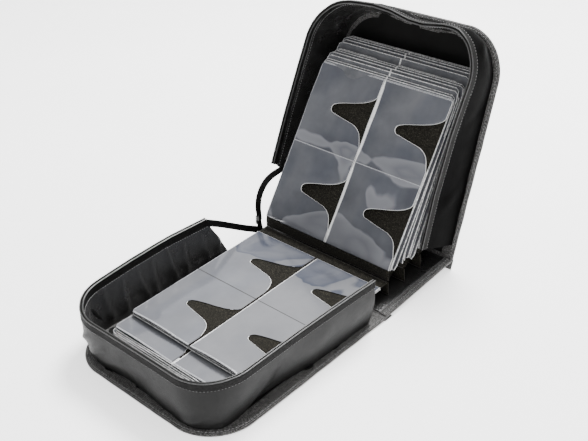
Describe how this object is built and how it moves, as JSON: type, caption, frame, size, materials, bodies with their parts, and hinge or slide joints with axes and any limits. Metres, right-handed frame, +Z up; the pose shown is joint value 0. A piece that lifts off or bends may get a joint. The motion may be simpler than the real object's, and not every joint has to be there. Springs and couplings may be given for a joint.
{
  "type": "zippered sleeve binder",
  "caption": "Open zip-around soft binder: two deep rounded trays hinged on a wide spine, with felt-cored pages of four clear notched pockets a side.",
  "frame": {"origin": "middle of the whole binder's outline on the floor it stands on", "axes": "+X along the spine, +Y from the lying tray to the standing tray, +Z up"},
  "size_m": [0.324, 0.6732, 0.388],
  "materials": {
    "nylon": "woven, low sheen",
    "nylon_binding": "ribbed tape",
    "board": "stiff board, hidden",
    "lining": "smooth lining, slight sheen",
    "zipper_tape": "knitted tape",
    "zipper_coil": "nylon coil",
    "felt": "non-woven felt",
    "sleeve_leaf": "felt between clear films",
    "clear_film": "clear glossy film",
    "slider_metal": "black enamel"
  },
  "bodies": {
    "lower_tray": {"lower_outer_panel": "nylon", "lower_stiffener": "board", "lower_lining": "lining", "lower_edge_binding": "nylon_binding", "lower_gusset": "nylon", "lower_gusset_lining": "lining", "lower_zipper_tape": "zipper_tape", "lower_zipper_coil": "zipper_coil", "lower_crease_flange": "nylon", "lower_zipper_tail": "zipper_tape"},
    "spine": {"spine_outer_panel": "nylon", "spine_board": "board", "spine_lining": "lining", "spine_binding_near": "nylon_binding", "spine_binding_far": "nylon_binding", "lower_crease_welt": "nylon_binding", "upper_crease_welt": "nylon_binding", "booklet_1_binding_strip": "felt", "zipper_joined_end": "zipper_tape"},
    "upper_tray": {"upper_outer_panel": "nylon", "upper_stiffener": "board", "upper_lining": "lining", "upper_edge_binding": "nylon_binding", "upper_gusset": "nylon", "upper_gusset_lining": "lining", "upper_zipper_tape": "zipper_tape", "upper_zipper_coil": "zipper_coil", "upper_zipper_tail": "zipper_tape", "upper_crease_flange": "nylon"},
    "booklet_1": {"booklet_1_leaves": "sleeve_leaf"},
    "binding_strip_2": {"booklet_2_binding_strip": "felt"},
    "binding_strip_3": {"booklet_3_binding_strip": "felt"},
    "binding_strip_4": {"booklet_4_binding_strip": "felt"},
    "booklet_2_lower": {"booklet_2_lower_leaves": "sleeve_leaf"},
    "booklet_2_upper": {"booklet_2_upper_leaves": "sleeve_leaf"},
    "booklet_3": {"booklet_3_leaves": "sleeve_leaf"},
    "booklet_4": {"booklet_4_leaves": "sleeve_leaf"},
    "top_leaf": {"top_leaf_felt_core": "felt", "top_leaf_pocket_films": "clear_film"},
    "front_leaf": {"front_leaf_felt_core": "felt", "front_leaf_pocket_films": "clear_film"},
    "slider": {"zipper_slider": "slider_metal"},
    "pull_tab": {"zipper_pull_tab": "slider_metal"}
  },
  "joints": [
    {"name": "spine_fold", "type": "hinge", "parent": "lower_tray", "child": "spine", "pos_m": [0, 0.03139, 0.004], "axis": [1, 0, 0], "range_deg": [0, 86.38], "deforming": ["lower_zipper_tail"]},
    {"name": "upper_tray_open", "type": "hinge", "parent": "spine", "child": "upper_tray", "pos_m": [0, 0.21302, 0.01549], "axis": [1, 0, 0], "range_deg": [-52, 11], "deforming": ["upper_zipper_tail"]},
    {"name": "booklet_1_turn", "type": "hinge", "parent": "spine", "child": "booklet_1", "pos_m": [0, 0.03961, 0.01654], "axis": [1, 0, 0], "range_deg": [-86.4, 0]},
    {"name": "binding_strip_2_lean", "type": "hinge", "parent": "spine", "child": "binding_strip_2", "pos_m": [0, 0.07573, 0.01111], "axis": [1, 0, 0], "range_deg": [0, 27.9]},
    {"name": "binding_strip_3_lean", "type": "hinge", "parent": "spine", "child": "binding_strip_3", "pos_m": [0, 0.11894, 0.01384], "axis": [1, 0, 0], "range_deg": [0, 24.06]},
    {"name": "binding_strip_4_lean", "type": "hinge", "parent": "spine", "child": "binding_strip_4", "pos_m": [0, 0.16385, 0.01668], "axis": [1, 0, 0], "range_deg": [0, 19.33]},
    {"name": "booklet_2_lower_turn", "type": "hinge", "parent": "binding_strip_2", "child": "booklet_2_lower", "pos_m": [0, 0.0741, 0.03676], "axis": [1, 0, 0], "range_deg": [-114.28, 0]},
    {"name": "booklet_2_upper_turn", "type": "hinge", "parent": "binding_strip_2", "child": "booklet_2_upper", "pos_m": [0, 0.0741, 0.03676], "axis": [1, 0, 0], "range_deg": [-36.42, 7.72]},
    {"name": "booklet_3_turn", "type": "hinge", "parent": "binding_strip_3", "child": "booklet_3", "pos_m": [0, 0.11732, 0.03949], "axis": [1, 0, 0], "range_deg": [-40.32, 8.55]},
    {"name": "booklet_4_turn", "type": "hinge", "parent": "binding_strip_4", "child": "booklet_4", "pos_m": [0, 0.16204, 0.04533], "axis": [1, 0, 0], "range_deg": [-47.6, 10.09]},
    {"name": "top_leaf_turn", "type": "hinge", "parent": "booklet_2_lower", "child": "top_leaf", "pos_m": [0, 0.0711, 0.03596], "axis": [1, 0, 0], "range_deg": [-116, 0]},
    {"name": "front_leaf_lift", "type": "hinge", "parent": "booklet_2_upper", "child": "front_leaf", "pos_m": [0, 0.07635, 0.0389], "axis": [-1, 0, 0], "range_deg": [-40, 0]},
    {"name": "slider_travel", "type": "slide", "parent": "spine", "child": "slider", "axis": [0, -0.0631, 0.998], "range_m": [0, 0.012]},
    {"name": "pull_tab_swing", "type": "hinge", "parent": "slider", "child": "pull_tab", "pos_m": [-0.161, 0.08039, 0.04516], "axis": [0, 1, 0], "range_deg": [0, 110]}
  ],
  "couplings": [
    {"joint": "booklet_1_turn", "follows": "spine_fold", "ratio": -1},
    {"joint": "binding_strip_2_lean", "follows": "spine_fold", "ratio": 0.3227},
    {"joint": "binding_strip_3_lean", "follows": "spine_fold", "ratio": 0.2783},
    {"joint": "binding_strip_4_lean", "follows": "spine_fold", "ratio": 0.2235},
    {"joint": "booklet_2_lower_turn", "follows": "spine_fold", "ratio": -1.3227},
    {"joint": "booklet_2_upper_turn", "follows": "upper_tray_open", "ratio": 0.7},
    {"joint": "booklet_3_turn", "follows": "upper_tray_open", "ratio": 0.775},
    {"joint": "booklet_4_turn", "follows": "upper_tray_open", "ratio": 0.915}
  ]
}
